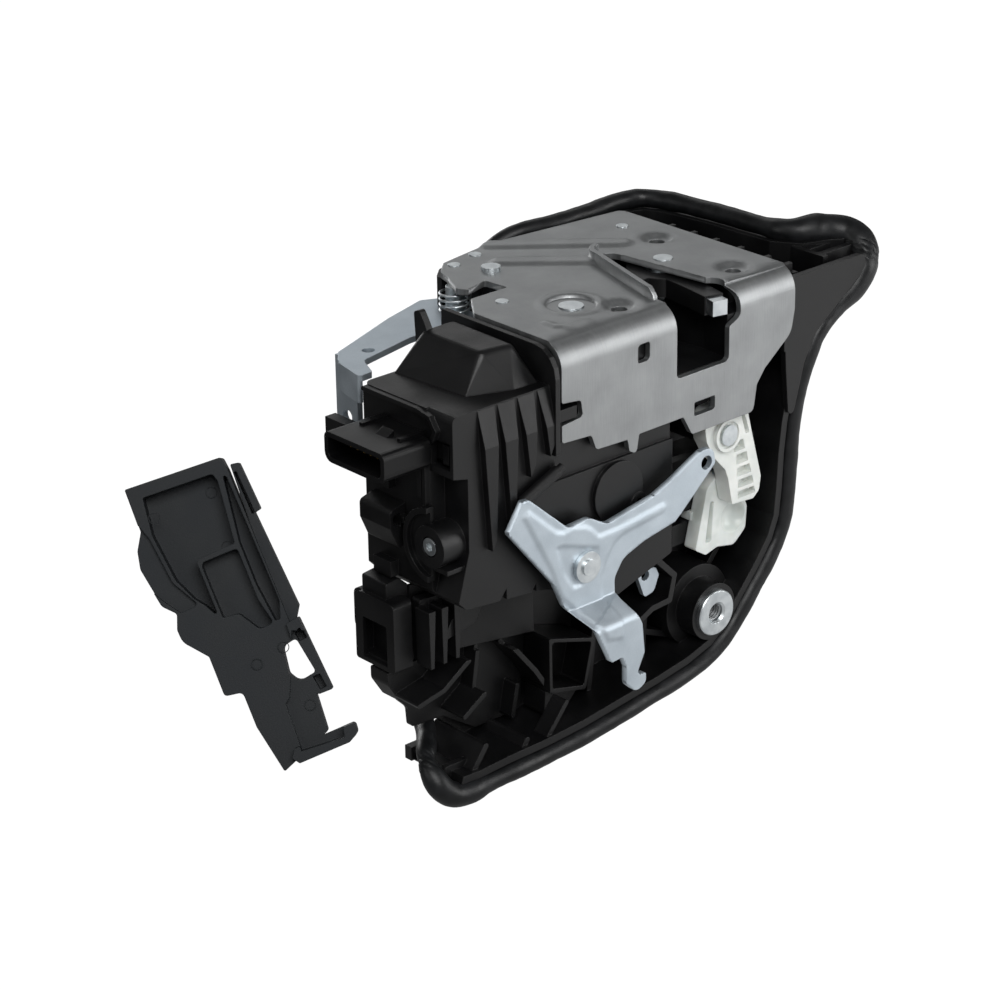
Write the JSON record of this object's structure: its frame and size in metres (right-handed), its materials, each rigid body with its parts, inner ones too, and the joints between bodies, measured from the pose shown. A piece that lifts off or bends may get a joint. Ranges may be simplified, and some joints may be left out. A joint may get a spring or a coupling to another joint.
{
  "type": "car door lock",
  "caption": "Car door lock module: steel face plate with a striker slot, claw and pawl, power lock actuator, plastic carrier with foam seal, levers and a clip-on cover.",
  "frame": {"origin": "outer corner line where the face plate's top plane and its flange's outer plane would meet, at the middle of the striker slot", "axes": "+X along the bend of the face plate, +Y into the lock along the slot, +Z out of the face plate's top face"},
  "size_m": [0.245, 0.1087, 0.1466],
  "materials": {
    "steel_plate": "satin",
    "steel_dark": "satin",
    "zinc_bright": "zinc plated",
    "zinc_satin": "satin zinc plated",
    "spring_steel": "bright",
    "motor_can": "satin",
    "brass": "satin",
    "plastic_black": "matt moulded",
    "plastic_grey": "matt moulded",
    "pom_white": "smooth moulded",
    "pom_natural": "smooth moulded",
    "rubber": "matt",
    "foam": "matt closed-cell foam"
  },
  "bodies": {
    "module": {"face_plate": "steel_plate", "plate_rivets": "zinc_bright", "back_plate": "steel_dark", "latch_housing": "plastic_black", "claw_pin": "zinc_bright", "claw_spring": "spring_steel", "pawl_pin": "zinc_bright", "pawl_spring": "spring_steel", "slam_bumper": "rubber", "retaining_clip": "zinc_satin", "carrier": "plastic_black", "foam_seal": "foam", "threaded_insert": "zinc_bright", "actuator_case": "plastic_black", "actuator_cap": "plastic_black", "connector_shroud": "plastic_black", "connector_pins": "brass", "case_screws": "zinc_bright", "motor": "motor_can", "wheel_axle": "spring_steel", "microswitches": "plastic_grey", "release_lever_pin": "zinc_bright", "lock_lever_pin": "zinc_bright", "outer_lever_pin": "zinc_bright", "outer_lever_spring": "spring_steel", "lower_case": "plastic_black", "cable_box": "plastic_black", "side_box": "plastic_black", "cable_clip": "plastic_black"},
    "claw": {"claw": "zinc_bright", "claw_jacket": "plastic_black"},
    "pawl": {"pawl": "steel_dark"},
    "worm": {"motor_worm": "brass"},
    "wheel": {"worm_wheel": "pom_natural"},
    "release": {"release_lever": "zinc_satin", "link_rod": "spring_steel"},
    "tab": {"pull_tab": "pom_white"},
    "lock": {"lock_lever": "pom_white"},
    "slider": {"lock_slider": "pom_natural"},
    "outer": {"outer_lever": "zinc_satin"},
    "cover": {"loose_cover": "plastic_grey"}
  },
  "joints": [
    {"name": "claw_turn", "type": "hinge", "parent": "module", "child": "claw", "pos_m": [0.0166, 0.0345, -0.006], "axis": [0, 0, 1], "range_deg": [-66, 0], "stiffness_Nm_per_rad": 0.03, "springref_deg": 20.05, "deforming": ["claw_spring"]},
    {"name": "pawl_turn", "type": "hinge", "parent": "module", "child": "pawl", "pos_m": [-0.0327, 0.024, -0.006], "axis": [0, 0, 1], "range_deg": [0, 20], "stiffness_Nm_per_rad": 0.03, "springref_deg": -11.46, "deforming": ["pawl_spring"]},
    {"name": "outer_turn", "type": "hinge", "parent": "module", "child": "outer", "pos_m": [-0.0435, 0.065, -0.013], "axis": [0, 0, 1], "range_deg": [-12, 0], "stiffness_Nm_per_rad": 0.2, "springref_deg": 17.19, "deforming": ["outer_lever_spring"]},
    {"name": "release_turn", "type": "hinge", "parent": "module", "child": "release", "pos_m": [-0.0534, -0.003, -0.0712], "axis": [0, 1, 0], "range_deg": [0, 18], "stiffness_Nm_per_rad": 0.2, "springref_deg": -17.19},
    {"name": "lock_turn", "type": "hinge", "parent": "module", "child": "lock", "pos_m": [0.0157, 0.008, -0.0507], "axis": [0, 1, 0], "range_deg": [0, 14.5]},
    {"name": "slider_slide", "type": "slide", "parent": "module", "child": "slider", "axis": [-1, 0, 0], "range_m": [0, 0.0056]},
    {"name": "tab_slide", "type": "slide", "parent": "module", "child": "tab", "axis": [0, 0, -1], "range_m": [0, 0.0025], "stiffness_N_per_m": 60, "springref_m": -0.002},
    {"name": "wheel_turn", "type": "hinge", "parent": "module", "child": "wheel", "pos_m": [-0.034, 0.02, -0.046], "axis": [0, 1, 0], "continuous": true},
    {"name": "worm_turn", "type": "hinge", "parent": "module", "child": "worm", "pos_m": [-0.034, 0.02, -0.062], "axis": [1, 0, 0], "continuous": true},
    {"name": "cover_lift_off", "type": "slide", "parent": "module", "child": "cover", "axis": [-1, 0, 0], "range_m": [0, 0.02]}
  ],
  "couplings": [
    {"joint": "worm_turn", "follows": "wheel_turn", "ratio": 24},
    {"joint": "lock_turn", "follows": "slider_slide", "rad_per_m": 43.3}
  ]
}
